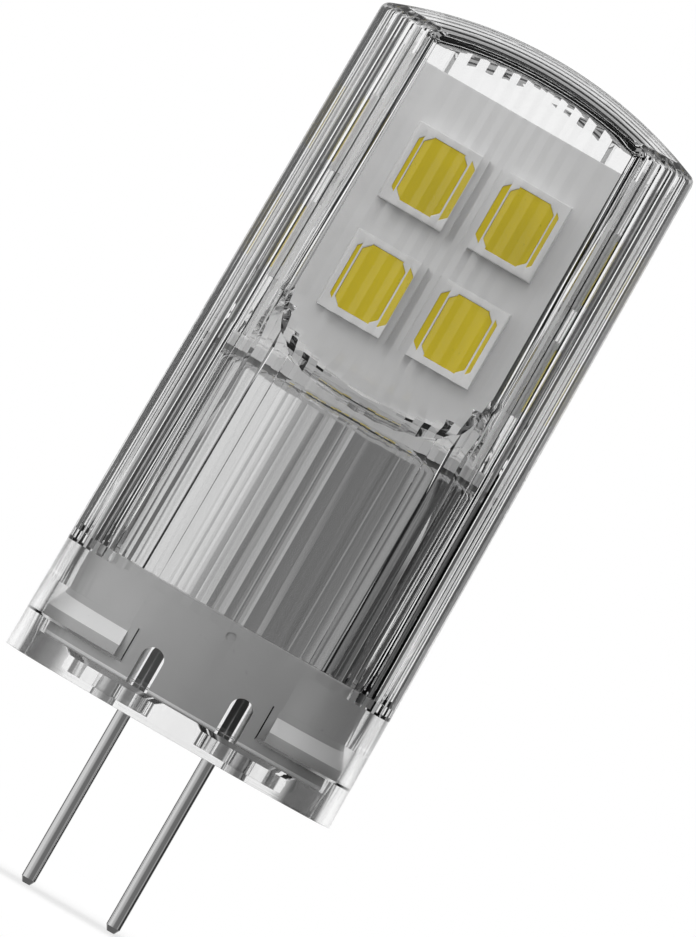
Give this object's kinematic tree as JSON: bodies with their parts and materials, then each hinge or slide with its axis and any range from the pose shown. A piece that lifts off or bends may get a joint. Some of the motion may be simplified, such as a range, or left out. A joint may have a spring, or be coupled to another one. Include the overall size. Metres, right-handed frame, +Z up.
{
  "type": "led capsule bulb",
  "caption": "Two-pin LED capsule bulb: ribbed clear cover with a flat front and back window, light boards inside, a metal sleeve below them and two straight contact pins.",
  "frame": {"origin": "centre of the bottom face of the body, midway between the two pins", "axes": "+Z up through the dome, pins point along -Z, X runs from the left pin to the right pin, the front window faces -Y"},
  "size_m": [0.0152, 0.0152, 0.0402],
  "materials": {
    "clear_plastic": "clear moulded plastic",
    "grey_plastic": "satin moulded",
    "sleeve_metal": "bright drawn",
    "white_plastic": "moulded",
    "core_metal": "satin",
    "white_board": "white solder mask",
    "green_board": "green solder mask",
    "chip_black": "moulded",
    "chip_tan": "fired",
    "ferrite": "sintered",
    "copper": "bare wire",
    "can_metal": "bright can",
    "pin_metal": "bright plated",
    "wire_red": "insulated wire",
    "wire_black": "insulated wire",
    "solder": "bright",
    "led_white": "moulded package",
    "phosphor_yellow": "phosphor gel"
  },
  "bodies": {
    "root": {"base_disc": "clear_plastic", "board_back": "white_board", "board_front": "white_board", "board_left": "white_board", "board_right": "white_board", "bridge_rectifier": "chip_black", "capacitor_flat": "chip_tan", "capacitor_round": "can_metal", "carrier_plate": "white_plastic", "choke": "ferrite", "choke_winding": "copper", "clear_cover": "clear_plastic", "driver_board": "green_board", "driver_chip": "chip_black", "driver_housing": "grey_plastic", "feed_minus": "wire_black", "feed_plus": "wire_red", "fuse_resistor": "chip_tan", "heat_sleeve": "sleeve_metal", "lead_left": "copper", "lead_right": "copper", "led_back_1": "led_white", "led_back_2": "led_white", "led_back_3": "led_white", "led_back_4": "led_white", "led_front_1": "led_white", "led_front_2": "led_white", "led_front_3": "led_white", "led_front_4": "led_white", "led_left_1": "led_white", "led_left_2": "led_white", "led_right_1": "led_white", "led_right_2": "led_white", "phosphor_back_1": "phosphor_yellow", "phosphor_back_2": "phosphor_yellow", "phosphor_back_3": "phosphor_yellow", "phosphor_back_4": "phosphor_yellow", "phosphor_front_1": "phosphor_yellow", "phosphor_front_2": "phosphor_yellow", "phosphor_front_3": "phosphor_yellow", "phosphor_front_4": "phosphor_yellow", "phosphor_left_1": "phosphor_yellow", "phosphor_left_2": "phosphor_yellow", "phosphor_right_1": "phosphor_yellow", "phosphor_right_2": "phosphor_yellow", "pin_left": "pin_metal", "pin_right": "pin_metal", "sense_resistor": "chip_black", "solder_minus": "solder", "solder_plus": "solder", "tower_core": "core_metal"}
  },
  "joints": []
}
